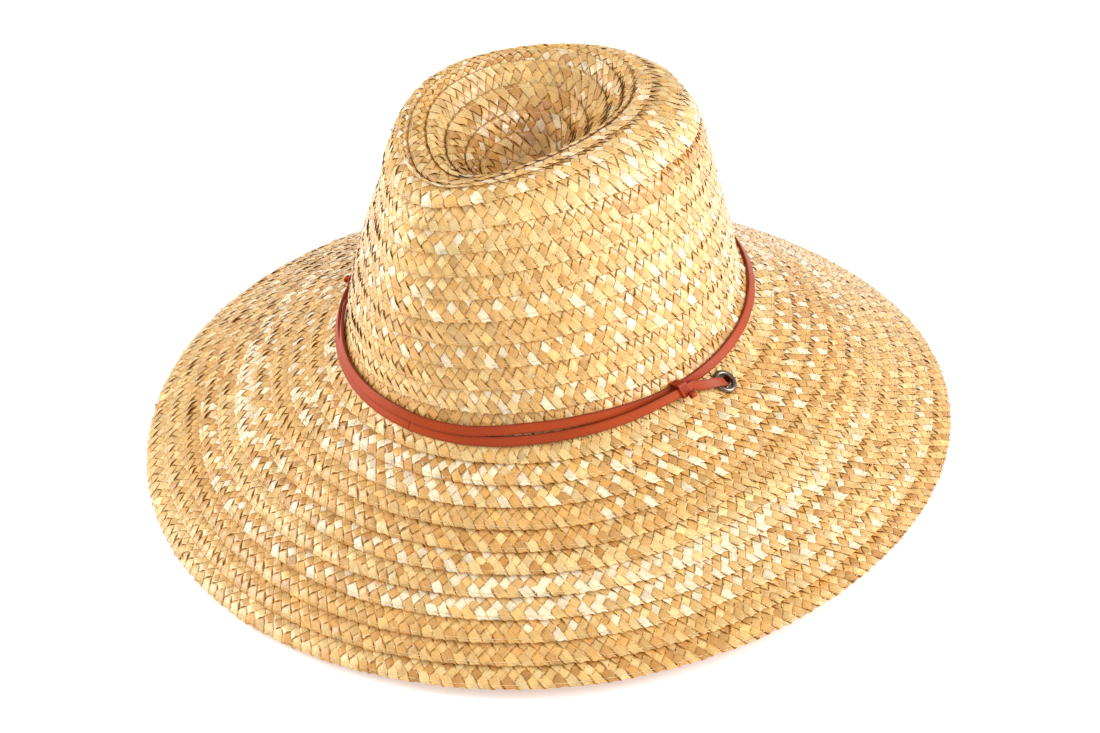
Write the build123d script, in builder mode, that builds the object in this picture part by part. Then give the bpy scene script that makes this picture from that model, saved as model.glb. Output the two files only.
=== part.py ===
"""Straw sun hat: sewn-braid crown and brim, sweatband, leather straps, keepers and eyelets.

Millimetres, +Z up.  The front of the hat faces -Y and the wearer's left is +X.
The pieces are drawn with z = 0 on the line where the crown meets the brim, and are written
with the lowest edge of the brim at z = 0, as the hat stands on a table.
"""
import os
from math import cos, radians, sin, tan

from build123d import *

os.makedirs("parts", exist_ok=True)

# ---- driving dimensions -------------------------------------------------------------------
half_width = 84.0            # outside of the crown at the brim line, side to side / 2
half_length = 103.0          # outside of the crown at the brim line, front to back / 2
straw = 2.4                  # thickness of two overlapped rows of sewn braid
ring_points = 24             # points on each closed crown outline

brim_width = 101.5           # along the slope, from the ledge to the edge
brim_ledge = 4.0             # narrow level ledge at the foot of the crown
side_slope = 30.2            # downward slope of the brim at the sides, degrees
end_slope = 34.8             # and at the front and the back, degrees

# crown outlines: height, centre x, half width, reach to the back, reach to the front, front pinch
crown_rings = [
    (0.0, 0.0, half_width, half_length, half_length, 0.00),
    (30.0, -3.0, 78.5, 95.5, 101.5, 0.10),
    (60.0, -3.5, 69.5, 86.0, 99.5, 0.20),
    (85.0, -2.5, 61.5, 75.5, 95.5, 0.25),
    (97.0, -2.5, 56.5, 68.5, 89.0, 0.25),
    (103.5, -5.0, 50.0, 60.0, 83.0, 0.20),
    (106.5, -8.5, 42.5, 53.0, 79.0, 0.10),
]
# teardrop dent in the top: height, centre x, half width, reach to the back, reach to the front
dent_rings = [
    (112.0, -11.5, 37.0, 50.0, 74.0),
    (106.5, -11.5, 36.0, 49.0, 73.0),
    (100.0, -12.5, 33.5, 45.5, 62.0),
    (94.0, -12.5, 28.5, 39.5, 51.0),
    (87.0, -11.5, 20.5, 29.0, 39.0),
    (79.5, -11.5, 14.5, 22.0, 28.0),
    (73.0, -10.5, 8.0, 14.0, 18.0),
    (69.5, -10.0, 3.0, 7.0, 11.0),
]

sweatband_height = 29.0
sweatband_thickness = 0.8

strap_height = 4.2           # leather strap, standing on edge against the crown
strap_thickness = 1.4
strap_side_gap = 1.7         # strap to crown line at the sides, where the keepers pass behind
strap_end_gap = 0.6          # strap to crown line at the front and the back
lower_strap_base = 1.5       # bottom edge of the lower strap
upper_strap_base = 5.9       # bottom edge of the upper strap
lap_angle = -89.0            # where the two lengths of the lower strap are lapped, at the front
lap_span = 5.0               # degrees of overlap
divide_angle = 10.5          # the lower strap leaves the crown this far in front of each side
strap_end_angle = {1: -divide_angle, -1: divide_angle - 180.0}

keeper_angle = {1: -12.5, -1: -159.0}        # where each keeper rests around the crown
keeper_width = 4.4
keeper_thickness = 0.8
keeper_clearance = 0.35
keeper_curl = 1.1            # radius of the rolled end below each keeper

eyelet_angle = -0.3          # at the middle of each side
eyelet_reach = 1.9           # outward from the ledge, level distance
flange_diameter = 11.2
flange_height = 0.5
flange_lift = 0.03           # the flange bears on the high spots of the braid
eyelet_bore = 6.8
barrel_diameter = 7.5
barrel_clearance = 0.1
washer_diameter = 10.4

knot_radius = 4.5            # stopper knot at each end of the lower strap, under the brim
tail_length = 13.0

side_name = {1: "left", -1: "right"}         # the wearer's side


# ---- outlines -----------------------------------------------------------------------------
def outline(height, centre_x, width, back, front, pinch, grow):
    """Closed face at a height: half ovals to the back and the front, the front one pinched."""
    points = []
    for i in range(ring_points):
        t = radians(90.0 + 360.0 * i / ring_points)
        reach = back if sin(t) > 0 else front
        squeeze = 1.0 - pinch * max(-sin(t), 0.0) ** 2
        points.append((centre_x + (width + grow) * cos(t) * squeeze, (reach + grow) * sin(t)))
    with BuildSketch(Plane.XY.offset(height)) as face:
        with BuildLine():
            Spline(*points, periodic=True)
        make_face()
    return face.sketch


def crown_body(grow, drop):
    """Solid crown without its dent, grown outward, its top lowered by drop."""
    top = crown_rings[-1][0]
    with BuildPart() as body:
        for height, centre_x, width, back, front, pinch in crown_rings:
            level = height * (1.0 - drop / top)
            add(outline(level, centre_x, width, back, front, pinch, grow))
        loft(ruled=True)
    return body.part


def dent_body(grow, drop):
    """Solid teardrop that fills the dent, grown outward, its floor lowered by drop."""
    floor = dent_rings[-1][0]
    with BuildPart() as body:
        for height, centre_x, width, back, front in dent_rings:
            level = height - drop if height == floor else height
            add(outline(level, centre_x, width, back, front, 0.0, grow))
        loft(ruled=True)
    return body.part


# ---- crown --------------------------------------------------------------------------------
crown_outside = crown_body(0.0, 0.0)
crown_inside = crown_body(-straw, straw)
dent_inside = dent_body(0.0, 0.0)
dent_outside = dent_body(straw, straw)

with BuildPart() as side_crown:
    add(crown_outside)
    add(crown_inside, mode=Mode.SUBTRACT)
    add(dent_outside, mode=Mode.SUBTRACT)

with BuildPart() as crown_tip:
    add(crown_outside)
    add(dent_outside, mode=Mode.INTERSECT)
    add(dent_inside, mode=Mode.SUBTRACT)

with BuildPart() as sweatband:
    add(crown_inside)
    add(crown_body(-straw - sweatband_thickness, straw), mode=Mode.SUBTRACT)
    with BuildSketch(Plane.XY):
        Ellipse(half_width, half_length)
    extrude(amount=sweatband_height, mode=Mode.INTERSECT)


# ---- brim and eyelets ---------------------------------------------------------------------
cone_drop = 62.0                                          # the cone runs past the trimmed edge
skin_drop = straw / cos(radians((side_slope + end_slope) / 2))


def brim_cone(lower):
    """Oval cone that starts at the ledge, moved down by lower."""
    with BuildPart() as cone:
        with BuildSketch(Plane.XY.offset(-lower)):
            Ellipse(half_width + brim_ledge, half_length + brim_ledge)
        with BuildSketch(Plane.XY.offset(-lower - cone_drop)):
            Ellipse(
                half_width + brim_ledge + cone_drop / tan(radians(side_slope)),
                half_length + brim_ledge + cone_drop / tan(radians(end_slope)),
            )
        loft(ruled=True)
    return cone.part


def eyelet_plane(side):
    """Plane on the brim's upper face at an eyelet; side is +1 at +X and -1 at -X."""
    slope = radians(side_slope)
    t = radians(eyelet_angle)
    reach = brim_ledge + eyelet_reach
    origin = (
        side * (half_width + reach) * cos(t),
        (half_length + reach) * sin(t),
        -eyelet_reach * tan(slope),
    )
    return Plane(origin=origin, x_dir=(0, 1, 0), z_dir=(side * sin(slope), 0, cos(slope)))


with BuildPart() as brim:
    add(brim_cone(0.0))
    add(brim_cone(skin_drop), mode=Mode.SUBTRACT)
    with BuildSketch(Plane.XY.offset(-cone_drop - 5.0)):
        Ellipse(
            half_width + brim_ledge + brim_width * cos(radians(side_slope)),
            half_length + brim_ledge + brim_width * cos(radians(end_slope)),
        )
    extrude(amount=cone_drop + 10.0, mode=Mode.INTERSECT)
    with BuildSketch(Plane.XY.offset(-skin_drop - 5.0)):
        Ellipse(half_width - straw, half_length - straw)
    extrude(amount=skin_drop + 10.0, mode=Mode.SUBTRACT)
    for side in (1, -1):
        with BuildSketch(eyelet_plane(side)):
            Circle(barrel_diameter / 2)
        extrude(amount=6.0, both=True, mode=Mode.SUBTRACT)
        with BuildSketch(eyelet_plane(side).offset(-straw)):      # pressed flat for the washer
            Circle(washer_diameter / 2 + barrel_clearance)
        extrude(amount=-straw, mode=Mode.SUBTRACT)


def make_eyelet(side):
    """Flange on the upper face with a barrel through the straw."""
    plane = eyelet_plane(side).offset(flange_lift)
    with BuildPart() as eyelet:
        with BuildSketch(plane):
            Circle(flange_diameter / 2)
        extrude(amount=flange_height)
        rim = eyelet.faces().sort_by(Axis(plane.origin, plane.z_dir))[-1].edges()
        fillet(rim, flange_height * 0.8)
        with BuildSketch(plane):
            Circle(barrel_diameter / 2 - barrel_clearance)
        extrude(amount=-(straw + flange_height))
        with BuildSketch(plane.offset(flange_height)):
            Circle(eyelet_bore / 2)
        extrude(amount=-(straw + 3 * flange_height), mode=Mode.SUBTRACT)
    return eyelet.part


def make_washer(side):
    """Ring under the brim that the barrel is set into."""
    with BuildPart() as washer:
        with BuildSketch(eyelet_plane(side).offset(-straw)):
            Circle(washer_diameter / 2)
            Circle(barrel_diameter / 2, mode=Mode.SUBTRACT)
        extrude(amount=-flange_height)
    return washer.part


# ---- straps -------------------------------------------------------------------------------
strap_half_width = half_width + strap_side_gap
strap_half_length = half_length + strap_end_gap


def strap_point(angle, depth=strap_thickness / 2):
    """Point on the strap's oval at an angle, depth outward from its inner face."""
    t = radians(angle)
    return Vector((strap_half_width + depth) * cos(t), (strap_half_length + depth) * sin(t))


def strap_outward(angle):
    t = radians(angle)
    return Vector(strap_half_length * cos(t), strap_half_width * sin(t)).normalized()


def strap_ring(base, inner, outer):
    """Ring of strap from its lower edge at base, between two depths."""
    with BuildPart() as ring:
        with BuildSketch(Plane.XY.offset(base)):
            Ellipse(strap_half_width + outer, strap_half_length + outer)
            Ellipse(strap_half_width + inner, strap_half_length + inner, mode=Mode.SUBTRACT)
        extrude(amount=strap_height)
    return ring.part


def strap_arc(inner, outer, start, end):
    """The part of the lower strap between two angles and two depths."""
    corners = [(0.0, 0.0)]
    for share in (0.0, 0.5, 1.0):
        point = strap_point(start + (end - start) * share) * 1.8
        corners.append((point.X, point.Y))
    with BuildPart() as arc:
        add(strap_ring(lower_strap_base, inner, outer))
        with BuildSketch(Plane.XY):
            with BuildLine():
                Polyline(*corners, close=True)
            make_face()
        extrude(amount=2 * (lower_strap_base + strap_height), mode=Mode.INTERSECT)
    return arc.part


def strap_lead(side):
    """From the crown, turning flat onto the eyelet and down through its bore."""
    angle = strap_end_angle[side]
    start = strap_point(angle)
    mid_height = lower_strap_base + strap_height / 2
    plane = eyelet_plane(side)
    down = -plane.z_dir
    centre = plane.origin
    along = Vector(-strap_outward(angle).Y * side, strap_outward(angle).X * side, 0)
    # place, direction of travel, how far the strap has turned over (0 upright, 1 flat)
    stations = [
        (Vector(start.X, start.Y, mid_height), along, 0.0),
        (Vector(side * 87.2, -12.5, 3.6), Vector(side * 0.15, 1, 0), 0.3),
        (Vector(side * 88.3, -7.0, 3.2), Vector(side * 0.2, 1, -0.15), 0.7),
        (centre + Vector(0, -1.9, 0) - down * 1.6, Vector(0, 0.8, 0) + down * 0.7, 1.0),
        (centre + down * 2.0, down, 1.0),
        (centre + down * 6.0, down, 1.0),
    ]
    with BuildPart() as lead:
        for place, travel, turn in stations:
            travel = travel.normalized()
            flat_width = Vector(-side * cos(radians(side_slope)), 0, sin(radians(side_slope)))
            across = Vector(0, 0, 1) * (1.0 - turn) + flat_width * turn
            across = (across - travel * across.dot(travel)).normalized()
            with BuildSketch(Plane(origin=place, x_dir=across, z_dir=travel)):
                Rectangle(strap_height, strap_thickness)
        loft()
    return lead.part


def make_front_strap(side):
    """One length of the lower strap: lap, run along the crown, lead, stopper knot and tail."""
    end = strap_end_angle[side]
    half = strap_thickness / 2
    lap_end = lap_angle + lap_span
    plane = eyelet_plane(side)
    knot = plane.origin - plane.z_dir * (straw + flange_height + knot_radius)
    with BuildPart() as strap:
        add(strap_arc(half, strap_thickness, lap_angle, end))
        add(strap_arc(0.0, half, lap_end, end))
        add(strap_lead(side))
        with Locations(knot):
            Sphere(knot_radius)
        with BuildSketch(Plane(origin=knot, x_dir=(side, 0, 0), z_dir=(0, 0.8, -0.6))):
            Rectangle(strap_height, strap_thickness)
        extrude(amount=tail_length)
    return strap.part


def make_keeper(side):
    """Flat loop around both straps with a small rolled end."""
    angle = keeper_angle[side]
    outward = strap_outward(angle)
    middle = strap_point(angle)
    top = upper_strap_base + strap_height
    height = top - lower_strap_base + 2 * keeper_clearance
    depth = strap_thickness + 2 * keeper_clearance
    origin = Vector(middle.X, middle.Y, (top + lower_strap_base) / 2)
    plane = Plane(origin=origin, x_dir=outward, z_dir=outward.cross(Vector(0, 0, 1)))
    wall = 2 * keeper_thickness
    with BuildPart() as keeper:
        with BuildSketch(plane):
            RectangleRounded(depth + wall, height + wall, 0.7)
            Rectangle(depth, height, mode=Mode.SUBTRACT)
        extrude(amount=keeper_width / 2, both=True)
        with BuildSketch(plane):
            with Locations((depth / 2 + keeper_thickness + keeper_curl * 0.7, -height / 2 + 0.7)):
                Circle(keeper_curl)
        extrude(amount=keeper_width / 3, both=True)
    return keeper.part


with BuildPart() as hat_band:
    add(strap_ring(upper_strap_base, 0.0, strap_thickness))

# ---- files --------------------------------------------------------------------------------
pieces = {
    "side_crown": side_crown.part,
    "crown_tip": crown_tip.part,
    "brim": brim.part,
    "sweatband": sweatband.part,
    "hat_band": hat_band.part,
}
for side, name in side_name.items():
    pieces[f"front_strap_{name}"] = make_front_strap(side)
    pieces[f"keeper_{name}"] = make_keeper(side)
    pieces[f"eyelet_{name}"] = make_eyelet(side)
    pieces[f"eyelet_washer_{name}"] = make_washer(side)

stand_height = brim_width * sin(radians(end_slope)) + skin_drop

for name, drawn in pieces.items():
    piece = drawn.moved(Location((0, 0, stand_height)))
    piece.label = name
    export_step(piece, f"parts/{name}.step")
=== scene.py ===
"""Straw sun hat: the looks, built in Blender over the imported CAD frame.

Lengths inside this script are millimetres in the crown-line frame: z = 0 where the crown meets
the brim, front of the hat at -Y, wearer's left at +X.  to_world() turns them into the row frame.
"""

import math

import bpy
import numpy as np
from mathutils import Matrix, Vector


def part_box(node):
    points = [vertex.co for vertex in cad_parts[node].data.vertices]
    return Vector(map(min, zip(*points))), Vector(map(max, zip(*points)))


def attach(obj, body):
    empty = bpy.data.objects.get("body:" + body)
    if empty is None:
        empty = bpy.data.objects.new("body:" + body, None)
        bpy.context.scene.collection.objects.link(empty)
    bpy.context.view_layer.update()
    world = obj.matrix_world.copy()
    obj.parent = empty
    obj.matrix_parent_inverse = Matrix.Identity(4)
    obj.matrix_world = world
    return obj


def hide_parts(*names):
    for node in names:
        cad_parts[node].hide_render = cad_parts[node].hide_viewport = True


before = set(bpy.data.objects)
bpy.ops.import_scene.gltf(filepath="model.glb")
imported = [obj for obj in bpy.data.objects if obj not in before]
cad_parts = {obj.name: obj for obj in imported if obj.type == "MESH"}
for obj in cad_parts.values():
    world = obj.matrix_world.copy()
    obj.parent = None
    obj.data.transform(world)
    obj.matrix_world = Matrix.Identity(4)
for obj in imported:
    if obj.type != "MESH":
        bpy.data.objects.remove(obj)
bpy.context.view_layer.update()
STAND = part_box("sweatband")[0].z * 1000.0      # crown line above the table
TAU = 2 * math.pi
rng = np.random.default_rng(11)


def to_world(points):
    return (np.asarray(points, float) + np.array([0.0, 0.0, STAND])) / 1000.0


# ---- the surface the rows of braid lie on ---------------------------------------------------
HALF_WIDTH, HALF_LENGTH = 84, 103              # outside of the crown where it meets the brim
LEDGE_WIDTH, LEDGE_LENGTH = 88, 107            # outer edge of the level ledge round its foot
# crown outlines: height, centre x, half width, reach back, reach front, front pinch
CROWN = np.array([
    (0, 0, HALF_WIDTH, HALF_LENGTH, HALF_LENGTH, 0),
    (30, -3, 78.5, 95.5, 101.5, .1), (60, -3.5, 69.5, 86, 99.5, .2),
    (85, -2.5, 61.5, 75.5, 95.5, .25), (97, -2.5, 56.5, 68.5, 89, .25),
    (103.5, -5, 50, 60, 83, .2), (106.5, -8.5, 42.5, 53, 79, .1),
])
# rows of the dent: row, height, centre x, half width, centre y, reach back, reach front,
# rise to the side, rise to the back, front pinch, front sway
DENT = [
    (0, 69.0, -10, 0.0, -2, 8, 8, 0, 0, 0, 0), (1, 72.5, -10.5, 7.5, -2, 16, 16, .3, 0, 0, 0),
    (2, 79.5, -11.5, 14.5, -2, 24, 26, .5, 0, 0, 0), (3, 87.0, -11.2, 20.8, -2, 31, 37, .5, 0, .1, 3),
    (4, 94.0, -12.3, 28.8, -1, 41, 50, .5, 0, .2, 6), (5, 100.0, -13.5, 35.5, 0, 48.5, 62, .5, -.5, .25, 8),
    (6, 103.6, -12.5, 39, 0, 54, 76.5, 1.5, -1.0, .25, 9), (7, 103.2, -10.5, 45, 0, 61, 79.5, 3, -1.5, .2, 8),
]
CREST_ROW, FOOT_ROW, LEDGE_ROW, EDGE_ROW = 8.0, 18.3, 18.4, 29.0
WALL_ROWS = (8, 9, 10, 11, 12, 14, 16, 17.3)
BRIM_ROWS = (18.5, 19, 20, 22, 24, 26, 28, 29)
# height of the crest: on the whole, more to the left, more to the back, and the swell on the right
CREST, CREST_SIDE, CREST_BACK, CREST_SWELL = 99.8, 3.8, -2.0, 4.7
SHOULDER_AT, SHOULDER_SPREAD = 212, 42         # degrees: where the right shoulder swells
BRIM_WIDTH, SIDE_SLOPE, END_SLOPE = 101.5, math.radians(30.2), math.radians(34.8)


def monotone(x, y, q):
    """Shape-keeping cubic through (x, y) rows at q."""
    h = np.diff(x)
    d = np.diff(y, axis=0) / h[:, None]
    m = np.zeros_like(y)
    m[0], m[-1] = d[0], d[-1]
    w1, w2 = (2 * h[1:] + h[:-1])[:, None], (h[1:] + 2 * h[:-1])[:, None]
    with np.errstate(divide="ignore", invalid="ignore"):
        mean = (w1 + w2) / (w1 / d[:-1] + w2 / d[1:])
    m[1:-1] = np.where(d[:-1] * d[1:] > 0, mean, 0)
    i = np.clip(np.searchsorted(x, q) - 1, 0, len(x) - 2)
    t, step = ((q - x[i]) / h[i])[..., None], h[i][..., None]
    return ((2 * t**3 - 3 * t**2 + 1) * y[i] + (t**3 - 2 * t**2 + t) * step * m[i]
            + (3 * t**2 - 2 * t**3) * y[i + 1] + (t**3 - t**2) * step * m[i + 1])


def oval_outward(t):
    """Level direction out of the crown's oval at angle t."""
    out = np.stack([HALF_LENGTH * np.cos(t), HALF_WIDTH * np.sin(t), 0 * t], -1)
    return out / np.linalg.norm(out, axis=-1, keepdims=True)


def lobe(t, middle, spread):
    """1 at the middle angle, fading to 0 round the rest of the hat; both in degrees."""
    away = np.mod(t - math.radians(middle) + math.pi, TAU) - math.pi
    return np.exp(-(away / math.radians(spread)) ** 2)


def ease(part):
    """Smooth step from 0 to 1."""
    part = np.clip(part, 0, 1)
    return part * part * (3 - 2 * part)


def wall(z, t):
    """Outside of the crown at height z and angle t."""
    p = monotone(CROWN[:, 0], CROWN[:, 1:], z)
    c, s = np.cos(t), np.sin(t)
    x = p[..., 0] + p[..., 1] * c * (1 - p[..., 4] * np.maximum(-s, 0) ** 2)
    place = np.stack([x, np.where(s > 0, p[..., 2], p[..., 3]) * s, z + 0 * t], -1)
    # the shoulder swells on both sides, and the foot is drawn in behind the wearer's left
    right = 3.4 * lobe(t, SHOULDER_AT, SHOULDER_SPREAD) * ease((z - 80.0) / 22.0)
    left = 2.3 * lobe(t, 35, 34) * ease((z - 62.0) / 38.0)
    foot = 2.2 * lobe(t, 40, 32) * ease((62.0 - z) / 32.0)
    return place + oval_outward(t) * np.asarray(right + left - foot)[..., None]


def brim(u, t):
    """Top of the brim, u from 0 at the ledge to 1 at the edge."""
    c, s = np.cos(t), np.sin(t)
    spread = 2.0 * lobe(t, 66, 24) - 1.3 * lobe(t, 287, 24)
    reach = u * BRIM_WIDTH + spread * u * u
    drop = reach * (math.sin(SIDE_SLOPE) * c * c + math.sin(END_SLOPE) * s * s)
    return np.stack([(LEDGE_WIDTH + reach * math.cos(SIDE_SLOPE)) * c,
                     (LEDGE_LENGTH + reach * math.cos(END_SLOPE)) * s, 0 * t - drop], -1)


def stations(t):
    """The rows the surface passes through, as (row numbers, points)."""
    c, s = np.cos(t), np.sin(t)
    front = np.maximum(-s, 0) ** 2
    rows, points = [], []
    swell = lobe(t, 188, 48)
    for row, z, xc, ax, yc, back, reach, rise_x, rise_y, pinch, sway in DENT:
        x = xc + sway * front + ax * c * (1 - pinch * front)
        place = np.stack([x, yc + np.where(s > 0, back, reach) * s, z + rise_x * c + rise_y * s], -1)
        # the rim of the dent swells with the shoulder and the crest
        share = max(0.0, (row - 3) / 4) ** 2
        shoulder = lobe(t, SHOULDER_AT, SHOULDER_SPREAD)[:, None] * oval_outward(t) * 3.2
        place = place + share * (shoulder + swell[:, None] * np.array([0, 0, 4.4]))
        points.append(place)
        rows.append(row)
    crest = CREST + CREST_SIDE * c + CREST_BACK * s + CREST_SWELL * swell
    for row in WALL_ROWS:
        z = crest * (FOOT_ROW - row) / (FOOT_ROW - CREST_ROW) - 2.0 * max(0, 9.5 - row) * front
        points.append(wall(z, t))
        rows.append(row)
    for row in BRIM_ROWS:
        points.append(brim((row - LEDGE_ROW) / (EDGE_ROW - LEDGE_ROW), t))
        rows.append(row)
    return np.array(rows, float), np.array(points)


def surface(s, t):
    """Natural cubic through the stations at every row s for every angle t."""
    x, y = stations(t)
    n, h = len(x), np.diff(x)
    a, r = np.zeros((n, n)), np.zeros_like(y)
    a[0, 0] = a[-1, -1] = 1
    for i in range(1, n - 1):
        a[i, i - 1], a[i, i], a[i, i + 1] = h[i - 1], 2 * (h[i - 1] + h[i]), h[i]
        r[i] = 6 * ((y[i + 1] - y[i]) / h[i] - (y[i] - y[i - 1]) / h[i - 1])
    m = np.linalg.solve(a, r.reshape(n, -1)).reshape(y.shape)
    i = np.clip(np.searchsorted(x, s) - 1, 0, n - 2)
    step = (x[i + 1] - x[i])[:, None, None]
    p = ((x[i + 1] - s) / (x[i + 1] - x[i]))[:, None, None]
    q = 1 - p
    return p * y[i] + q * y[i + 1] + ((p**3 - p) * m[i] + (q**3 - q) * m[i + 1]) * step**2 / 6


ROW_STEP, ANGLES = 0.1, 1440
BEYOND_EDGE = 0.61                # rows that the surface is carried on past the edge
GRID_ROWS = np.arange(0.0, EDGE_ROW + BEYOND_EDGE, ROW_STEP)
GRID = surface(GRID_ROWS, np.linspace(0, TAU, ANGLES + 1))
d_row = np.gradient(GRID, axis=0)
d_angle = np.gradient(GRID, axis=1)
d_angle[:, 0] = d_angle[:, -1] = GRID[:, 1] - GRID[:, -2]
NORMALS = np.cross(d_row, d_angle)
NORMALS[0] = NORMALS[1]
NORMALS /= np.linalg.norm(NORMALS, axis=-1, keepdims=True)


def look_up(table, s, t):
    """Linear look-up of a surface table at rows s and angles t."""
    a = np.clip(s / ROW_STEP, 0, len(GRID_ROWS) - 1.001)
    b = np.mod(t, TAU) / TAU * ANGLES
    i, j = a.astype(int), np.minimum(b.astype(int), ANGLES - 1)
    p, q = (a - i)[..., None], (b - j)[..., None]
    return ((table[i, j] * (1 - q) + table[i, j + 1] * q) * (1 - p)
            + (table[i + 1, j] * (1 - q) + table[i + 1, j + 1] * q) * p)


# ---- where the eyelets are --------------------------------------------------------------------
SIDES = {1: "left", -1: "right"}  # the wearer's side
EYELET_ANGLE = math.radians(-0.3)
EYELET_REACH = 1.9                # outward from the ledge
BORE_KEEP = 3.85                  # radius about an eyelet's axis that the straws are kept out of
BORE_DEPTH = 9                    # and how far to each side of the brim


def eyelet_frame(side):
    """Middle of an eyelet on the brim's outer face, and the axis of its bore."""
    centre = np.array([side * (LEDGE_WIDTH + EYELET_REACH) * math.cos(EYELET_ANGLE),
                       (LEDGE_LENGTH + EYELET_REACH) * math.sin(EYELET_ANGLE),
                       -EYELET_REACH * math.tan(SIDE_SLOPE)])
    return centre, np.array([side * math.sin(SIDE_SLOPE), 0.0, math.cos(SIDE_SLOPE)])


EYELETS = [eyelet_frame(side) for side in SIDES]


# ---- the braid --------------------------------------------------------------------------------
TURNS = 30
START = math.radians(40.0)        # each turn of the spiral is counted from here
SHIFT_END = math.radians(165.0)   # the spiral moves one row outward between START and here
ENDS = 4                          # straws in the braid
STEP = 2.40                       # length of braid between two crossings
RISE = 3.3                        # height between two crossings
BRAID_ROWS = 1.375                # braid width in row pitches: the rest hides under the row above
FOLD = 0.20                       # how far the folds fall short of a sharp corner, in crossings
LEAN = math.radians(36.0)
STRAW_HALF = 2.07                 # half width of a straw
STRAW_DEEP = 0.33                 # half thickness of a straw
WEAVE = 0.41                      # how far a straw rides over and under
TILT = 1.4                        # how much a row climbs over the next one
SINK = -2.15                      # inner side of a row below the hat's outer face


def seam(theta):
    """Lower edge of the braid at a running angle, in rows."""
    turn = np.floor((theta - START) / TAU)
    rest = np.clip((theta - START - turn * TAU) / (SHIFT_END - START), 0, 1)
    return turn + rest * rest * (3 - 2 * rest)


def soften(s):
    """Keeps rows near the very centre from crossing it."""
    return np.where(s > 0.3, s, 0.3 * np.exp(np.minimum(s - 0.3, 0) / 0.3))


THETA0, THETA1 = START + math.radians(75), START + (TURNS - 1) * TAU + math.radians(100)
theta_grid = np.linspace(THETA0, THETA1, (TURNS - 1) * 720)
middle_row = soften(np.minimum(seam(theta_grid), EDGE_ROW) - BRAID_ROWS / 2)
hops = np.diff(look_up(GRID, middle_row, theta_grid), axis=0)
arc_grid = np.concatenate([[0], np.cumsum(np.maximum(np.linalg.norm(hops, axis=1), 1e-4))])
TOTAL_STEPS = int(arc_grid[-1] / STEP) + 20

ARCH = 0.55                       # how much the middle of a row bulges
PULL = 0.22                       # how much the stitching draws the row in
DENT_TURNS, DENT_PAINTED_SHADE = 6, 0.93  # painted shade: the first turns, down in the dent, are a little darker where the dent lies in shadow


def wander(mean, spread):
    """A chance number for each of the straws at each crossing."""
    return rng.normal(mean, spread, (ENDS, TOTAL_STEPS))


wander_w = wander(0, 0.035)
wander_x = wander(0, 0.10)
wander_size = wander(1.0, 0.06)
wander_lift = wander(0, 0.07)
wander_roll = wander(0, 0.10)
wander_lean = wander(0, 0.05)
cell_light = wander(0, 1)

# straw colours, sRGB 0..255, and how often each is drawn
STRAW_COLOURS = np.array([(230, 185, 112), (221, 170, 94), (237, 201, 136), (215, 160, 84),
                          (246, 226, 190), (227, 182, 112), (200, 142, 66)], float)
STRAW_SHARE = np.array([.23, .19, .22, .10, .14, .09, .03])


def linear(srgb):
    """Linear light of an sRGB colour given as 0..255."""
    c = np.asarray(srgb, float) / 255.0
    return np.where(c <= 0.04045, c / 12.92, ((c + 0.055) / 1.055) ** 2.4)


straw_colour = np.zeros((ENDS, TOTAL_STEPS, 3))
straw_number = np.zeros((ENDS, TOTAL_STEPS))
for end in range(ENDS):
    at, number = 0, 0
    while at < TOTAL_STEPS:
        length = int(rng.integers(25, 110))
        pick = rng.choice(len(STRAW_COLOURS), p=STRAW_SHARE)
        straw_colour[end, at:at + length] = linear(STRAW_COLOURS[pick])
        straw_number[end, at:at + length] = number * 5.3 + end * 91.7
        at, number = at + length, number + 1


def along(values, tau):
    """Smoothly varying value of a straw at crossing position tau."""
    i = np.clip(np.floor(tau).astype(int), 0, TOTAL_STEPS - 2)
    f = tau - i
    f = f * f * (3 - 2 * f)
    return values[i] * (1 - f) + values[i + 1] * f


# where the rings of a straw stand within every four crossings: closest at the folds
SAMPLES = np.array([0, .15, .35, .65, 1.05, 1.5, 2.0, 2.5, 2.95, 3.35, 3.65, 3.85])
# section of a straw: across, through
SECTION = np.array([(1, 0), (.66, .80), (0, 1), (-.66, .80), (-1, 0), (-.66, -.80), (0, -1), (.66, -.80)])
RING = len(SECTION)
CYCLE = 8.0                       # crossings in a whole zigzag of one straw


def straw_path(tau):
    """Height over the width, lift, lean and turning of a straw at crossing position tau.
    A whole zigzag takes 8 crossings: folds at 0 (lower edge) and 4 (upper edge)."""
    phase = np.mod(tau, CYCLE)
    top = (phase > 2) & (phase < 6)
    d = np.where(top, phase - 4, np.where(phase >= 6, phase - CYCLE, phase))
    far = np.abs(d)
    bent = np.sqrt(d * d + FOLD * FOLD) * (1 - far / 2) + far * far / 2
    w = np.where(top, 2 - bent, bent - 2)
    sign = np.where(top, 1.0, -1.0)
    near_fold = sign * np.sin(math.pi / 2 * np.clip(d / 0.6, -1, 1))
    crossing = -sign * np.sign(d) * np.cos(math.pi * far)
    lift = np.where(far < 1, near_fold, crossing)
    lean = LEAN * sign * np.tanh(d / 0.28)
    turned = -math.pi * np.floor((tau + 2) / 4) - math.pi / 2 * np.tanh(d / 0.25)
    return w, lift, lean, turned


def ring_quads(rings, sides, joined=True, turned=False):
    """Faces between rings of points; joined closes the last ring onto the first, and turned
    makes the faces look the other way."""
    i, k = np.meshgrid(np.arange(rings if joined else rings - 1), np.arange(sides), indexing="ij")
    i2, k2 = (i + 1) % rings, (k + 1) % sides
    quads = np.stack([i * sides + k, i2 * sides + k, i2 * sides + k2, i * sides + k2], -1)
    return (quads[..., [0, 3, 2, 1]] if turned else quads).reshape(-1, 4)


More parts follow.
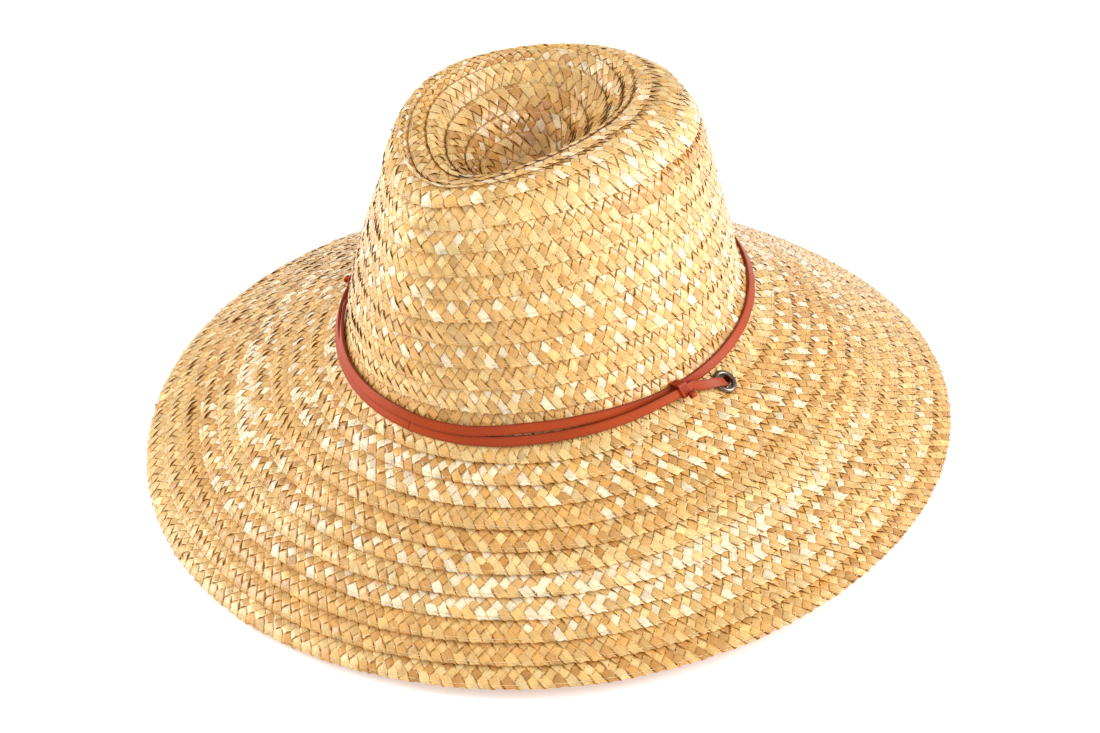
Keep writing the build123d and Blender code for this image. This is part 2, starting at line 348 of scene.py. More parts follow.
def smooth_object(name, points, quads, caps=(), colour=None, fibre=None, uv=None):
    """Mesh object in the row frame from millimetre points, four-sided faces and end caps."""
    mesh = bpy.data.meshes.new(name)
    world = to_world(points)
    mesh.vertices.add(len(world))
    mesh.vertices.foreach_set("co", world.astype(np.float32).ravel())
    quads = np.asarray(quads, np.int32).reshape(-1, 4)
    caps = [np.asarray(c, np.int32) for c in caps]
    corners = np.concatenate([quads.ravel()] + caps)
    totals = np.concatenate([np.full(len(quads), 4, np.int32), np.array([len(c) for c in caps], np.int32)])
    mesh.loops.add(len(corners))
    mesh.loops.foreach_set("vertex_index", corners)
    mesh.polygons.add(len(totals))
    starts = np.concatenate([[0], np.cumsum(totals)[:-1]])
    mesh.polygons.foreach_set("loop_start", starts.astype(np.int32))
    mesh.polygons.foreach_set("loop_total", totals)
    mesh.polygons.foreach_set("use_smooth", np.full(len(totals), True))
    if colour is not None:
        layer = mesh.color_attributes.new("tint", "FLOAT_COLOR", "POINT")
        rgba = np.ones((len(world), 4), np.float32)
        rgba[:, :3] = colour
        layer.data.foreach_set("color", rgba.ravel())
    if fibre is not None:
        layer = mesh.attributes.new("fibre", "FLOAT_VECTOR", "POINT")
        layer.data.foreach_set("vector", np.asarray(fibre, np.float32).ravel())
    if uv is not None:
        layer = mesh.uv_layers.new(name="OFBake")
        layer.data.foreach_set("uv", np.asarray(uv, np.float32).ravel())
    mesh.update(calc_edges=True)
    mesh.validate(clean_customdata=False)
    obj = bpy.data.objects.new(name, mesh)
    bpy.context.scene.collection.objects.link(obj)
    return obj


def straw_rings(end, tau):
    """Rings of one straw: places along, over and through the braid, colours with painted shade in the
    crevices, and fibre coordinates.
    """
    w, lift, lean, turned = straw_path(tau)
    size = along(wander_size[end], tau)
    w = w + along(wander_w[end], tau)
    x = (tau - 2 * end) * STEP + along(wander_x[end], tau)
    # the lift of each side of a straw follows the straws it crosses
    across = SECTION[:, 0][None] * STRAW_HALF * size[:, None]
    _, side_lift, _, _ = straw_path(tau[:, None] + 0.079 * across)
    z = WEAVE * (0.5 * lift[:, None] + 0.5 * side_lift) + along(wander_lift[end], tau)[:, None]
    z = z + across * along(wander_roll[end], tau)[:, None]
    lean = lean + along(wander_lean[end], tau)
    through = SECTION[:, 1][None] * STRAW_DEEP * (0.9 + 0.2 * size[:, None])
    px = x[:, None] + across * np.cos(lean)[:, None]
    pw = w[:, None] * RISE + across * np.sin(lean)[:, None] + through * np.sin(turned)[:, None]
    pz = z + through * np.cos(turned)[:, None]
    cell = np.clip(np.floor(tau + 0.5).astype(int), 0, TOTAL_STEPS - 1)
    tone = straw_colour[end, cell] * np.exp(0.10 * cell_light[end, cell])[:, None]
    shade = np.broadcast_to(tone[:, None, :], (len(tau), RING, 3)).copy()
    # painted shade: each straw is darker, and warmer in tint, towards its side edges and where it dips under
    # the straws it crosses, for the shade in the crevices of the braid
    rim = np.abs(SECTION[:, 0])[None] ** 2
    under = np.clip(-z / WEAVE, 0, 1) * 0.26
    dark = 1 - 0.15 * rim ** 2 - under
    shade *= np.stack([dark ** 0.1, dark, dark ** 2.6], -1)
    length = np.concatenate([[0], np.cumsum(np.diff(tau) * STEP * 1.7)])
    fibre = np.stack([np.broadcast_to(length[:, None], across.shape), across,
                      np.broadcast_to(straw_number[end, cell][:, None], across.shape)], -1)
    return px, pw, pz, shade, fibre, length


class Tubes:
    """Gathers straws as closed tubes of eight-sided rings."""

    def __init__(self):
        self.points, self.quads, self.caps, self.colours, self.fibres = [], [], [], [], []
        self.strips, self.base = [], 0

    def add(self, spot, shade, fibre, length):
        n = len(spot)
        self.points.append(spot.reshape(-1, 3))
        self.colours.append(shade.reshape(-1, 3))
        self.fibres.append(fibre.reshape(-1, 3))
        self.quads.append(self.base + ring_quads(n, RING, joined=False))
        self.caps.append(self.base + np.arange(RING))
        self.caps.append(self.base + (n - 1) * RING + np.arange(RING)[::-1])
        self.strips.append(length)
        self.base += n * RING

    def make(self, name):
        quads = np.concatenate(self.quads)
        uv = strip_uv(quads, self.caps, self.strips)
        return smooth_object(name, np.concatenate(self.points), quads, self.caps,
                             np.concatenate(self.colours), np.concatenate(self.fibres), uv)


def braid_turn(turn):
    """One turn of the braid."""
    first = max(START + turn * TAU, THETA0)
    last = min(START + (turn + 1) * TAU, THETA1)
    arc0, arc1 = np.interp([first, last], theta_grid, arc_grid)
    tubes = Tubes()
    for end in range(ENDS):
        tau0, tau1 = arc0 / STEP + 2 * end, arc1 / STEP + 2 * end
        cycles = np.arange(math.floor(tau0 / 4) * 4, tau1 + 4, 4)
        tau = (cycles[:, None] + SAMPLES[None]).ravel()
        tau = np.concatenate([[tau0], tau[(tau > tau0 + 0.04) & (tau < tau1 - 0.04)], [tau1]])
        px, pw, pz, shade, fibre, length = straw_rings(end, tau)
        px = px + 3.2 * np.sin(px / 47.0) + 1.3 * np.sin(px / 19.0 + 1.0)
        theta = np.interp(px, arc_grid, theta_grid)
        low = seam(theta)
        outer = np.minimum(low, EDGE_ROW)
        inner = low - BRAID_ROWS
        share = (pw / RISE + 2 - FOLD) / 4
        row = outer + (inner - outer) * share
        own = row - (low - 1)
        if turn == TURNS - 1:      # the last turn is squeezed in along the edge
            own = own / np.maximum(outer - low + 1, .4)
        bulge = ARCH * np.exp(-((own - 0.45) / 0.27) ** 2) - PULL * np.exp(-((own - 0.87) / 0.07) ** 2)
        height = SINK + TILT * own + bulge + pz
        s = soften(row)
        spot = look_up(GRID, s, theta) + look_up(NORMALS, s, theta) * height[..., None]
        # straws are pushed aside or cut where an eyelet goes through
        keep = np.ones(len(tau), bool)
        middle = spot.mean(1)
        for centre, axis in EYELETS:
            off = spot - centre
            flat = off - (off @ axis)[..., None] * axis
            r = np.linalg.norm(flat, axis=-1)
            near = (r < BORE_KEEP) & (np.abs(off @ axis) < BORE_DEPTH)
            aside = flat / np.maximum(r, .05)[..., None] * (BORE_KEEP - r)[..., None]
            spot = np.where(near[..., None], spot + aside, spot)
            off = middle - centre
            flat = off - (off @ axis)[..., None] * axis
            r = np.linalg.norm(flat, axis=-1)
            keep &= ~((r < BORE_KEEP - 0.4) & (np.abs(off @ axis) < BORE_DEPTH))
        # painted shade: the turns down in the dent are darkened
        if turn < DENT_TURNS:
            shade = shade * DENT_PAINTED_SHADE
        # runs of kept rings become closed tubes
        for run in np.split(np.arange(len(tau)), np.where(np.diff(keep.astype(int)) != 0)[0] + 1):
            if keep[run[0]] and len(run) > 2:
                tubes.add(spot[run], shade[run], fibre[run], length[run])
    return tubes


def braid_start(middle, reach):
    """The straight length that the first turn is wound round, along Y under the dent's floor."""
    tubes = Tubes()
    for end in range(ENDS):
        tau0 = CYCLE + 2 * end
        tau = (np.arange(0, 2 * reach / STEP, 4)[:, None] + SAMPLES[None]).ravel()
        tau = tau + math.floor(tau0 / 4) * 4
        tau = tau[(tau > tau0) & (tau < tau0 + 2 * reach / STEP)]
        px, pw, pz, shade, fibre, length = straw_rings(end, tau)
        spot = np.stack([middle[0] - pw, middle[1] + px - CYCLE * STEP - reach, middle[2] + pz], -1)
        # painted shade: the start strip, at the bottom of the dent, is darkened like the first turns
        tubes.add(spot, shade * DENT_PAINTED_SHADE, fibre, length)
    return tubes


def strip_uv(quads, caps, strips):
    """Lays the straws of a piece side by side in lines, so a bake has an even grain."""
    lane, spare = RING + 1.0, 6.0
    lengths = np.concatenate([[0], np.cumsum([s[-1] - s[0] + 2 for s in strips])])
    at = np.concatenate([s - s[0] + lengths[i] for i, s in enumerate(strips)])
    lines = max(1, int(math.sqrt(lengths[-1] / lane)))
    line_length = lengths[-1] / lines
    line = np.minimum((at / line_length).astype(int), lines - 1)
    u0 = at - line * line_length
    ring, k = quads // RING, quads % RING
    first = ring.min(1)
    u = u0[first][:, None] + (at[ring] - at[first][:, None])
    v = line[first][:, None] * lane + k[:, :1] + (k != k[:, :1]) + 0.5
    width, height = line_length + spare, lines * lane
    uv = np.stack([u / width, v / height], -1).reshape(-1, 2)
    ends = []
    for cap in caps:
        r = cap[0] // RING
        v = (line[r] * lane + cap % RING + 0.5) / height
        ends.append(np.stack([np.full(RING, u0[r] / width), v], -1))
    return np.concatenate([uv] + ends)


# ---- materials --------------------------------------------------------------------------------
def new_material(name, roughness, metallic=0.0, colour=None):
    """A material with its node tree and shader."""
    material = bpy.data.materials.new(name)
    material.use_nodes = True
    shader = material.node_tree.nodes["Principled BSDF"]
    shader.inputs["Roughness"].default_value = roughness
    shader.inputs["Metallic"].default_value = metallic
    if colour is not None:
        shader.inputs["Base Color"].default_value = (*linear(colour), 1)
        material.diffuse_color = (*linear(colour), 1)
    return material, material.node_tree, shader


def tinted(tree, shader, scale, low, high, detail):
    """Base colour = the piece's tint, streaked by noise in fibre coordinates."""
    tint = tree.nodes.new("ShaderNodeAttribute")
    tint.attribute_name = "tint"
    fibre = tree.nodes.new("ShaderNodeAttribute")
    fibre.attribute_name = "fibre"
    place = tree.nodes.new("ShaderNodeMapping")
    place.inputs["Scale"].default_value = scale
    noise = tree.nodes.new("ShaderNodeTexNoise")
    noise.inputs["Scale"].default_value = 1.0
    noise.inputs["Detail"].default_value = detail
    ramp = tree.nodes.new("ShaderNodeMapRange")
    ramp.inputs["From Min"].default_value = 0.3
    ramp.inputs["From Max"].default_value = 0.7
    ramp.inputs["To Min"].default_value = low
    ramp.inputs["To Max"].default_value = high
    mix = tree.nodes.new("ShaderNodeVectorMath")
    mix.operation = "SCALE"
    tree.links.new(fibre.outputs["Vector"], place.inputs["Vector"])
    tree.links.new(place.outputs["Vector"], noise.inputs["Vector"])
    tree.links.new(noise.outputs["Fac"], ramp.inputs["Value"])
    tree.links.new(tint.outputs["Color"], mix.inputs[0])
    tree.links.new(ramp.outputs["Result"], mix.inputs["Scale"])
    tree.links.new(mix.outputs["Vector"], shader.inputs["Base Color"])
    return noise


def roughened(tree, shader, noise, strength, distance):
    """Bump from the same noise as the streaks of colour."""
    bump = tree.nodes.new("ShaderNodeBump")
    bump.inputs["Strength"].default_value = strength
    bump.inputs["Distance"].default_value = distance
    tree.links.new(noise.outputs["Fac"], bump.inputs["Height"])
    tree.links.new(bump.outputs["Normal"], shader.inputs["Normal"])


straw_material, straw_tree, straw_shader = new_material("wheat_straw", 0.30)
streaks = tinted(straw_tree, straw_shader, (0.06, 2.4, 1.0), 0.76, 1.18, detail=4.0)
straw_shader.inputs["Specular IOR Level"].default_value = 0.6
straw_shader.inputs["Coat Weight"].default_value = 0.4
straw_shader.inputs["Coat Roughness"].default_value = 0.22
roughened(straw_tree, straw_shader, streaks, 0.5, 0.00035)

thread_material, _, _ = new_material("thread", 0.6, colour=(226, 200, 150))

leather_material, leather_tree, leather_shader = new_material("leather", 0.46)
leather_shader.inputs["Specular IOR Level"].default_value = 0.28
grain = tinted(leather_tree, leather_shader, (0.9, 1.6, 1.6), 0.86, 1.10, detail=6.0)
roughened(leather_tree, leather_shader, grain, 0.25, 0.0001)

metal_material, _, _ = new_material("gunmetal", 0.27, 1.0, (118, 108, 96))
cloth_material, _, _ = new_material("sweatband_cloth", 0.85, colour=(226, 217, 192))


def finish_piece(obj, material, body="hat", nodes=()):
    """Gives a piece its material and body, and hides the CAD nodes that it stands for."""
    obj.data.materials.append(material)
    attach(obj, body)
    if nodes:
        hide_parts(*nodes)


# ---- swept strips: straps, keepers, knots -------------------------------------------------------
def strip_section(width, thick, corner):
    """Rounded oblong section, and how much each point belongs to a cut edge."""
    spans, pts = 4, []
    for cx, cy, a0 in ((1, 1, 0), (-1, 1, 90), (-1, -1, 180), (1, -1, 270)):
        for a in (0, 30, 60, 90):
            r = math.radians(a0 + a)
            pts.append((cx * (width / 2 - corner) + corner * math.cos(r),
                        cy * (thick / 2 - corner) + corner * math.sin(r)))
        if cx * cy > 0:               # a flat face follows: add points along it
            x0 = cx * (width / 2 - corner)
            for j in range(1, spans):
                pts.append((x0 * (1 - 2 * j / spans), cy * thick / 2))
    pts = np.array(pts)
    rim = np.clip((np.abs(pts[:, 0]) - (width / 2 - corner * 1.6)) / (corner * 1.2), 0, 1)
    return pts, rim


def sweep(name, path, across, outward, section, rim, tone, closed=False, dark=0.42):
    """Closed tube of a section along a path; across and outward are unit vectors per station."""
    n, m = len(path), len(section)
    verts = (path[:, None] + across[:, None] * section[None, :, 0, None]
             + outward[:, None] * section[None, :, 1, None])
    quads = ring_quads(n, m, joined=closed)
    travel = path[1] - path[0]
    if np.dot(np.cross(across[0], outward[0]), travel) > 0:
        quads = quads[:, ::-1]
        caps = [np.arange(m)[::-1], (n - 1) * m + np.arange(m)]
    else:
        caps = [np.arange(m), (n - 1) * m + np.arange(m)[::-1]]
    arc = np.concatenate([[0], np.cumsum(np.linalg.norm(np.diff(path, axis=0), axis=1))])
    slow = 1 + 0.05 * np.sin(arc / 17.0 + 1.3) + 0.04 * np.sin(arc / 6.1)
    colour = linear(tone)[None, None] * slow[:, None, None] * (1 - dark * rim)[None, :, None]
    around = np.concatenate([[0], np.cumsum(np.linalg.norm(np.diff(section, axis=0), axis=1))])
    fibre = np.stack([np.broadcast_to(arc[:, None], (n, m)), np.broadcast_to(around[None], (n, m)),
                      np.zeros((n, m))], -1)
    return smooth_object(name, verts.reshape(-1, 3), quads, () if closed else caps,
                         colour.reshape(-1, 3), fibre.reshape(-1, 3))


def unit(v):
    """Vectors at length 1."""
    v = np.asarray(v, float)
    return v / np.linalg.norm(v, axis=-1, keepdims=True)


def through_points(points, per_span):
    """Smooth path through points (Catmull-Rom), per_span samples between two."""
    p = np.asarray(points, float)
    p = np.concatenate([[2 * p[0] - p[1]], p, [2 * p[-1] - p[-2]]])
    t = np.linspace(0, 1, per_span, endpoint=False)[:, None]
    out = []
    for a, b, c, d in zip(p[:-3], p[1:-2], p[2:-1], p[3:]):
        out.append(0.5 * (2 * b + (c - a) * t + (2 * a - 5 * b + 4 * c - d) * t**2
                          + (3 * b - a - 3 * c + d) * t**3))
    return np.concatenate(out + [p[-2:-1]])


def lathe(name, profile, centre, axis, count=48):
    """Ring turned round an axis: profile is a closed loop of (radius, height)."""
    axis = unit(axis)
    u = unit(np.cross(axis, (0.0, 1.0, 0.0)))
    v = np.cross(axis, u)
    a = np.linspace(0, TAU, count, endpoint=False)
    ring = np.cos(a)[:, None] * u + np.sin(a)[:, None] * v
    profile = np.asarray(profile, float)
    verts = centre + ring[:, None] * profile[None, :, 0, None] + axis * profile[None, :, 1, None]
    return smooth_object(name, verts.reshape(-1, 3), ring_quads(count, len(profile)))


# ---- eyelets ----------------------------------------------------------------------------------
# rolled flange, dished inward, with its barrel down through the straw
FLANGE = [(3.4, 0.30), (3.55, 0.66), (3.85, 0.92), (4.35, 1.02), (4.9, 0.94), (5.3, 0.68), (5.55, 0.38),
          (5.6, 0.12), (5.45, 0.0), (4.9, -0.02), (3.65, -0.02), (3.65, -3.1), (3.8, -3.45), (4.0, -3.6),
          (3.8, -3.75), (3.48, -3.6), (3.4, -3.2), (3.4, -1.5)]
WASHER = [(3.72, -2.95), (4.0, -2.85), (4.8, -2.85), (5.12, -2.97), (5.2, -3.15), (5.1, -3.35), (4.7, -3.5),
          (4.2, -3.45), (3.8, -3.3)]
for side, word in SIDES.items():
    centre, axis = eyelet_frame(side)
    eyelet = lathe("eyelet_" + word, FLANGE, centre, axis)
    finish_piece(eyelet, metal_material, nodes=["eyelet_" + word])
    washer = lathe("washer_" + word, WASHER, centre, axis)
    finish_piece(washer, metal_material, nodes=["eyelet_washer_" + word])

# ---- straps -----------------------------------------------------------------------------------
STRAP_WIDE, STRAP_THICK = 4.3, 1.4
KNOT_DEPTH = 8.2                  # stopper knot below the eyelet
TAN = (168, 60, 8)
TAN_DEEP = (146, 44, 4)
# angle round the crown, height of the upper strap's top edge, its distance from the crown, its lean
UPPER = np.array([
    (-180, 9.2, 2.2, 14), (-166, 9.2, 2.4, 16), (-150, 9.1, 2.2, 16), (-138, 9.2, 1.8, 20),
    (-125, 8.3, 1.75, 26), (-110, 8.3, 1.75, 27), (-95, 8.5, 1.75, 27), (-82, 7.7, 1.75, 27),
    (-72, 7.9, 1.75, 27), (-63, 8.9, 1.75, 26), (-53, 9.8, 1.75, 24), (-42, 9.8, 1.75, 22),
    (-33, 9.4, 1.75, 20), (-26, 8.8, 1.75, 18), (-20, 8.3, 1.75, 17), (-9, 8.1, 1.75, 18),
    (0, 8.2, 1.6, 30), (12, 8.3, 1.5, 38), (24, 8.4, 1.5, 42), (36, 8.5, 1.5, 44), (60, 8.5, 1.6, 36),
    (90, 8.8, 1.8, 24), (140, 9.2, 1.9, 14), (180, 9.2, 2.2, 14)], float)
# angle, height of the lower strap's bottom edge, its distance from the crown, its lean
LOWER = np.array([
    (-170, 4.6, 4.9, 16), (-150, 4.6, 4.8, 16), (-138, 3.4, 4.3, 20), (-128, 2.2, 3.9, 27),
    (-115, 1.5, 3.8, 27), (-105, 1.0, 3.8, 27), (-95, .6, 3.8, 27), (-85, .3, 3.8, 27),
    (-76, .3, 3.8, 27), (-65, .7, 3.8, 27), (-55, 1.4, 3.8, 26), (-45, 1.95, 3.8, 24),
    (-38, 2.3, 3.9, 22), (-31, 2.8, 4.1, 20), (-25, 3.4, 4.4, 18), (-20, 3.75, 4.5, 17),
    (-9, 3.8, 4.5, 16)], float)
LAP = -89.0                       # where the two lengths of the lower strap meet, in degrees
LAP_SPAN = 5.0
STRAP_END = {1: -10.5, -1: -169.5}  # where each length leaves the crown


def strap_run(table, degrees, edge):
    """Middle of a strap, its width direction and its outward direction round the crown.
    edge is +1 when the table gives the top outer edge and -1 when it gives the bottom one."""
    knots = table[:, 0]
    height, gap, lean = monotone(knots, table[:, 1:], np.clip(degrees, knots[0], knots[-1])).T
    lean = np.radians(lean)[:, None]
    t = np.radians(degrees)
    out, up = oval_outward(t), np.array([0.0, 0.0, 1.0])
    across = np.cos(lean) * up - np.sin(lean) * out
    outward = np.cos(lean) * out + np.sin(lean) * up
    corner = wall(height, t) + out * gap[:, None]
    return corner - edge * across * STRAP_WIDE / 2 - outward * STRAP_THICK / 2, across, outward


strap_section, strap_rim = strip_section(STRAP_WIDE, STRAP_THICK, 0.32)
degrees = np.linspace(-180, 180, 480, endpoint=False)
path, across, outward = strap_run(UPPER, degrees, 1)
band = sweep("hat_band_strap", path, across, outward, strap_section, strap_rim, TAN, closed=True)
finish_piece(band, leather_material, nodes=["hat_band"])

for side, word in SIDES.items():
    centre, axis = eyelet_frame(side)
    down = -axis
    run = np.linspace(LAP, STRAP_END[side], 190)
    path, across, outward = strap_run(LOWER, run, -1)
    # from the crown the strap twists over to lie flat, and goes down through the eyelet
    mouth = centre + (0, -2.0, 0) - down * 1.5
    stops = [path[-1], path[-1] * 0.66 + mouth * 0.34 + (side * 0.5, 0, -0.4),
             path[-1] * 0.30 + mouth * 0.70 + (side * 0.4, 0, 0.3), mouth,
             centre + (0, -0.4, 0) + down * 1.8, centre + down * 7.4]
    turns = [0.0, 0.25, 0.62, 0.95, 1.0, 1.0]
    lead = through_points([path[-5]] + stops, 10)[10:]
    turn = np.interp(np.arange(len(lead)) / 10.0, np.arange(len(turns)), turns)[:, None]
    travel = unit(np.gradient(lead, axis=0))
    flat = np.array([-side * math.cos(SIDE_SLOPE), 0, math.sin(SIDE_SLOPE)])
    wide = (1 - turn) * across[-1] + turn * flat
    wide = unit(wide - travel * np.sum(wide * travel, 1, keepdims=True))
    face = np.cross(wide, travel)
    face = face * np.sign(face[0] @ outward[-1])
    full_path = np.concatenate([path, lead[1:]])
    full_across = np.concatenate([across, wide[1:]])
    full_outward = np.concatenate([outward, unit(face[1:])])
    strap = sweep("front_strap_" + word, full_path, full_across, full_outward,
                  strap_section, strap_rim, TAN)
    # the left length is skived to its outer half at the lap, and the right one's cut end slopes
    # down to its inner half
    places = np.zeros(len(strap.data.vertices) * 3, np.float32)
    strap.data.vertices.foreach_get("co", places)
    places = places.reshape(len(full_path), -1, 3)
    for i in np.where(np.abs(run - LAP) < LAP_SPAN)[0]:
        if side > 0:
            places[i, strap_section[:, 1] < 0] += full_outward[i] * (STRAP_THICK / 2 + 0.03) / 1000
        elif abs(run[i] - LAP) < 0.1:
            places[i, strap_section[:, 1] > 0] -= full_outward[i] * STRAP_THICK / 2 / 1000
    strap.data.vertices.foreach_set("co", places.astype(np.float32).ravel())
    finish_piece(strap, leather_material, nodes=["front_strap_" + word])

    # stopper knot under the brim: a trefoil of strap pulled tight, and its tail
    a = np.linspace(0, TAU, 120, endpoint=False)
    knot = 0.92 * np.stack([np.sin(a) + 2 * np.sin(2 * a), np.cos(a) - 2 * np.cos(2 * a),
                            -1.56 * np.sin(3 * a)], -1)
    level = unit(np.cross(axis, (0, 1.0, 0)))
    spot = centre - axis * KNOT_DEPTH
    knot_path = (spot + knot[:, :1] * level + knot[:, 1:2] * np.cross(axis, level)
                 + knot[:, 2:] * axis)
    tang = unit(np.roll(knot_path, -1, 0) - np.roll(knot_path, 1, 0))
    knot_across = unit(np.cross(tang, knot_path - spot))
    knot_section, knot_rim = strip_section(2.7, 1.3, 0.34)
    obj = sweep("knot_" + word, knot_path, knot_across, unit(np.cross(knot_across, tang)),
                knot_section, knot_rim, TAN_DEEP, closed=True)
    finish_piece(obj, leather_material)
    tail_dir = unit(np.array([0, 0.8, -0.6]))
    t = np.linspace(0, 1, 16)[:, None]
    tail = spot + tail_dir * (1.5 + 12.0 * t) + np.array([0, 0, -1.0]) * 1.2 * t**2
    ones = np.ones_like(t)
    tail_out = unit(np.cross(np.array([side, 0, 0.0]), tail_dir))
    obj = sweep("tail_" + word, tail, ones * np.array([side, 0, 0.0]), ones * tail_out,
                strap_section, strap_rim, TAN)
    finish_piece(obj, leather_material)

# ---- keepers ----------------------------------------------------------------------------------
KEEPER_ANGLE = {1: -13.4, -1: -159.0}
KEEPER_WIDE, KEEPER_THICK, KEEPER_GAP, KEEPER_SLANT = 4.6, 0.75, 0.40, 0.38
keeper_section, keeper_rim = strip_section(KEEPER_WIDE, KEEPER_THICK, 0.22)
for side, word in SIDES.items():
    a = np.array([KEEPER_ANGLE[side]])
    inner, up, out = (v[0] for v in strap_run(UPPER, a, 1))
    outer = strap_run(LOWER, a, -1)[0][0]
    middle = (inner + outer) / 2
    forward = np.cross(up, out)
    forward = forward * np.sign(forward @ (eyelet_frame(side)[0] - middle))     # towards the eyelet
    high = STRAP_WIDE / 2 + abs((outer - inner) @ up) / 2 + KEEPER_GAP + KEEPER_THICK / 2
    deep = STRAP_THICK / 2 + abs((outer - inner) @ out) / 2 + KEEPER_GAP + KEEPER_THICK / 2
    corner = 1.0
    loop = []
    for cx, cz, start in ((1, 1, 0), (-1, 1, 90), (-1, -1, 180), (1, -1, 270)):
        for q in np.radians(np.linspace(start, start + 90, 6)):
            loop.append((cx * (deep - corner) + corner * math.cos(q),
                         cz * (high - corner) + corner * math.sin(q)))
    loop = np.array(loop)
    dense = []
    for p, q in zip(loop, np.roll(loop, -1, 0)):
        n = max(1, int(np.linalg.norm(q - p) / 0.8))
        dense.extend(p + (q - p) * j / n for j in range(n))
    dense = np.array(dense)
    ring = middle + dense[:, :1] * out + dense[:, 1:] * up - KEEPER_SLANT * dense[:, 1:] * forward
    tang = unit(np.roll(ring, -1, 0) - np.roll(ring, 1, 0))
    wide = unit(forward - tang * (tang @ forward)[:, None])
    face = np.cross(wide, tang)
    face = face * np.sign(face[0] @ out)
    obj = sweep("keeper_" + word, ring, wide, face, keeper_section, keeper_rim, TAN_DEEP, closed=True,
                dark=-0.45)
    finish_piece(obj, leather_material, body="keeper_" + word, nodes=["keeper_" + word])
    # its small rolled end, beside the foot of the loop and joined to it by a short tongue
    q = np.linspace(0, 1.35 * TAU, 40)
    radius = (1.25 - 0.06 * q)[:, None]
    curl_at = middle - up * (high - 0.5) + out * (deep + 1.7) + forward * (KEEPER_SLANT * high + 0.9)
    curl = curl_at + np.sin(q)[:, None] * radius * out + np.cos(q)[:, None] * radius * up
    tongue = np.linspace(2.0, 0.0, 7)[:-1, None]
    curl = np.concatenate([curl[:1] - tongue * out, curl])
    tang = unit(np.gradient(curl, axis=0))
    wide = np.broadcast_to(forward, curl.shape).copy()
    small, small_rim = strip_section(KEEPER_WIDE * 0.55, 0.45, 0.15)
    obj = sweep("keeper_end_" + word, curl, wide, np.cross(wide, tang), small, small_rim, TAN_DEEP,
                dark=-0.45)
    finish_piece(obj, leather_material, body="keeper_" + word)

# ---- sweatband --------------------------------------------------------------------------------
BAND_HIGH, BAND_IN, BAND_THICK = 29.0, 3.35, 0.75
RIBS, BAND_STEPS = 560, 12
t = np.linspace(0, TAU, RIBS * 3, endpoint=False)
rib = 0.10 * np.cos(np.arange(RIBS * 3) * TAU / 3)
rise = np.linspace(0.35, BAND_HIGH - 0.35, BAND_STEPS)
fall = np.linspace(BAND_HIGH - 0.35, 0.35, BAND_STEPS)
loop_z = np.concatenate([rise, fall])
loop_in = np.concatenate([np.full(BAND_STEPS, BAND_IN), np.full(BAND_STEPS, BAND_IN + BAND_THICK)])
# the two selvedges are rounded
loop_in[[BAND_STEPS - 1, BAND_STEPS]] += (0.12, -0.12)
loop_in[[0, -1]] += (0.12, -0.12)
rings = []
for z, inset in zip(loop_z, loop_in):
    p = wall(np.full_like(t, z), t)
    tang = unit(np.roll(p, -1, 0) - np.roll(p, 1, 0))
    n = np.cross(tang, (0, 0, 1.0))
    rings.append(p - n * (inset + (rib if inset > BAND_IN + 0.3 else -rib))[:, None])
grid = np.stack(rings, 1)
faces = ring_quads(*grid.shape[:2], turned=True)
sweat = smooth_object("sweatband_ribbon", grid.reshape(-1, 3), faces)
finish_piece(sweat, cloth_material, nodes=["sweatband"])

# ---- the rows -----------------------------------------------------------------------------------
for turn in range(TURNS):
    row = braid_turn(turn).make(f"braid_row_{turn:02d}")
    node = "crown_tip" if turn < 7 else "side_crown" if turn < 18 else "brim"
    finish_piece(row, straw_material, nodes=[node])
start = braid_start((-10.2, -2.0, 65.2), 15.0).make("braid_start")
finish_piece(start, straw_material, nodes=["crown_tip"])

# ---- stitches along the lower edge of every row ---------------------------------------------------
STITCH_EVERY, STITCH_LONG, STITCH_UP = 4.1, 3.9, 0.13
STITCH_SIDES = 5
arcs = np.arange(60.0, arc_grid[-1] - 30, STITCH_EVERY)
arcs = arcs + rng.normal(0, 0.15, len(arcs))
# rings of one stitch: place along it, radius, and how far it sinks into the straw
ring_share = np.array([-1, -.8, 0, .8, 1.0])
radius = np.array([0.03, 0.16, 0.18, 0.16, 0.03])
sink = np.array([-0.55, -0.12, 0.0, -0.12, -0.55])
theta = np.interp(arcs[:, None] + ring_share[None] * STITCH_LONG / 2, arc_grid, theta_grid)
s = soften(np.minimum(seam(theta), EDGE_ROW) - STITCH_UP)
up = look_up(NORMALS, s, theta)
height = SINK + TILT * (1 - STITCH_UP) + WEAVE + STRAW_DEEP - PULL - 0.10 + sink
spot = look_up(GRID, s, theta) + up * height[None, :, None]
tang = unit(spot[:, -1] - spot[:, 0])[:, None]
side_dir = unit(np.cross(up, np.broadcast_to(tang, up.shape)))
a = np.linspace(0, TAU, STITCH_SIDES, endpoint=False)
around = (np.cos(a)[None, None, :, None] * side_dir[:, :, None]
          + np.sin(a)[None, None, :, None] * up[:, :, None])
ring = spot[:, :, None] + radius[None, :, None, None] * around
per_stitch = len(radius) * STITCH_SIDES
one = ring_quads(len(radius), STITCH_SIDES, joined=False, turned=True)
faces = (np.arange(len(arcs))[:, None, None] * per_stitch + one[None]).reshape(-1, 4)
caps = []
for first in np.arange(len(arcs)) * per_stitch:
    caps.append(first + np.arange(STITCH_SIDES)[::-1])
    caps.append(first + per_stitch - STITCH_SIDES + np.arange(STITCH_SIDES))
stitches = smooth_object("stitching", ring.reshape(-1, 3), faces, caps)
finish_piece(stitches, thread_material)

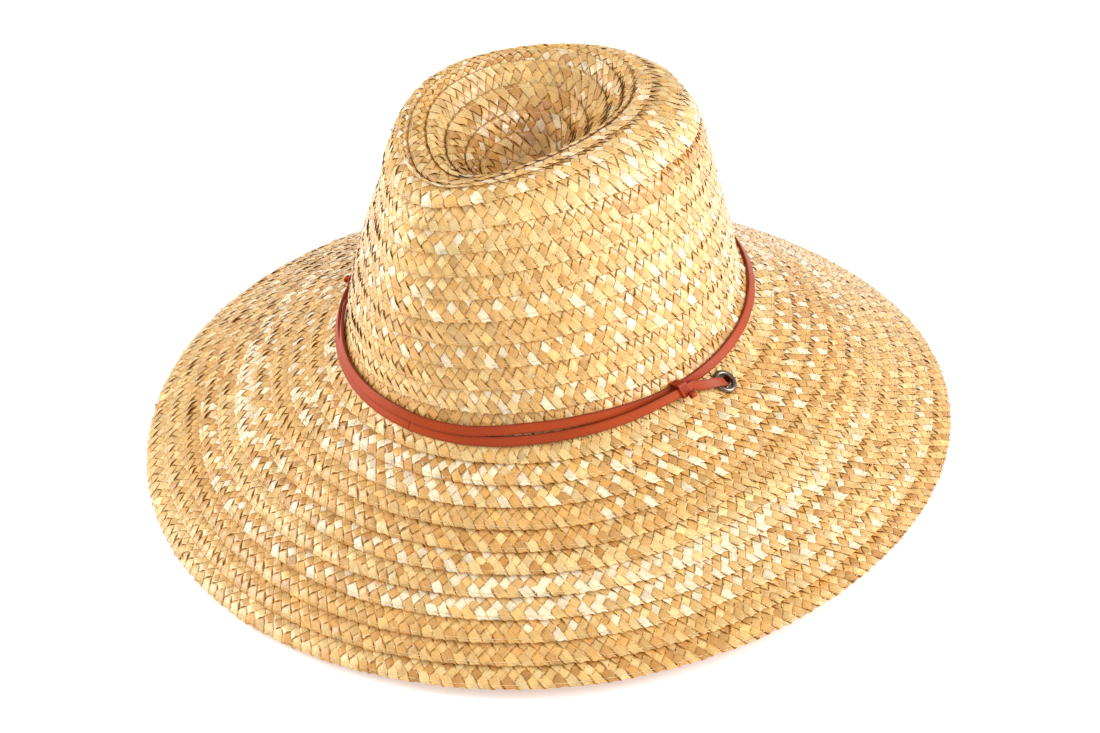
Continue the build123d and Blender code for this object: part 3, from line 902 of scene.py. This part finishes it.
# ---- floor, light, camera -----------------------------------------------------------------------
bpy.ops.mesh.primitive_plane_add(size=12.0, location=(0, 0, -0.0008))
floor = bpy.context.object
floor.name = "floor"
floor_material, _, floor_shader = new_material("floor_white", 0.9, colour=(246, 246, 246))
floor_shader.inputs["Emission Color"].default_value = (1, 1, 1, 1)
floor_shader.inputs["Emission Strength"].default_value = 0.34
floor.data.materials.append(floor_material)

world = bpy.data.worlds.new("studio")
bpy.context.scene.world = world
world.use_nodes = True
world.node_tree.nodes["Background"].inputs["Color"].default_value = (1, 1, 1, 1)
world.node_tree.nodes["Background"].inputs["Strength"].default_value = 0.62
bpy.context.scene.view_settings.view_transform = "Standard"


def area_light(name, place, target, size, power):
    """Square soft light at a place, turned to its target."""
    data = bpy.data.lights.new(name, "AREA")
    data.energy, data.size = power, size
    obj = bpy.data.objects.new(name, data)
    bpy.context.scene.collection.objects.link(obj)
    obj.location = place
    direction = Vector(target) - Vector(place)
    obj.rotation_euler = direction.to_track_quat("-Z", "Y").to_euler()


AZIMUTH, ELEVATION, DISTANCE = math.radians(34.7), math.radians(34.0), 1.2
# back is from the hat towards the camera, and right is level, to the camera's right
back = np.array([math.sin(AZIMUTH) * math.cos(ELEVATION), -math.cos(AZIMUTH) * math.cos(ELEVATION),
                 math.sin(ELEVATION)])
right = np.array([math.cos(AZIMUTH), math.sin(AZIMUTH), 0.0])
area_light("key", tuple(-right * 1.3 - back * 0.2 + (0, 0, 0.8)), (0, 0, 0.06), 0.8, 15)
area_light("fill", tuple(right * 1.3 + back * 0.15 + (0, 0, 0.6)), (0, 0, 0.06), 0.8, 18)
area_light("front", tuple(back * 1.3 + (0, 0, 0.3)), (0, 0, 0.08), 0.8, 3)

LENS, SHIFT_X, SHIFT_Y = 88.917, -0.00209, -0.05
camera_data = bpy.data.cameras.new("camera")
camera_data.sensor_width = 36.0
camera_data.lens = LENS
camera_data.shift_x = SHIFT_X
camera_data.shift_y = SHIFT_Y
camera_data.dof.use_dof = False
camera = bpy.data.objects.new("camera", camera_data)
bpy.context.scene.collection.objects.link(camera)
aim = np.array([0, 0, STAND / 1000])
camera.location = tuple(aim + back * DISTANCE)
camera.rotation_mode = "QUATERNION"
camera.rotation_quaternion = (-Vector(back)).to_track_quat("-Z", "Y")
camera_data.clip_start, camera_data.clip_end = 0.05, 50
bpy.context.scene.camera = camera
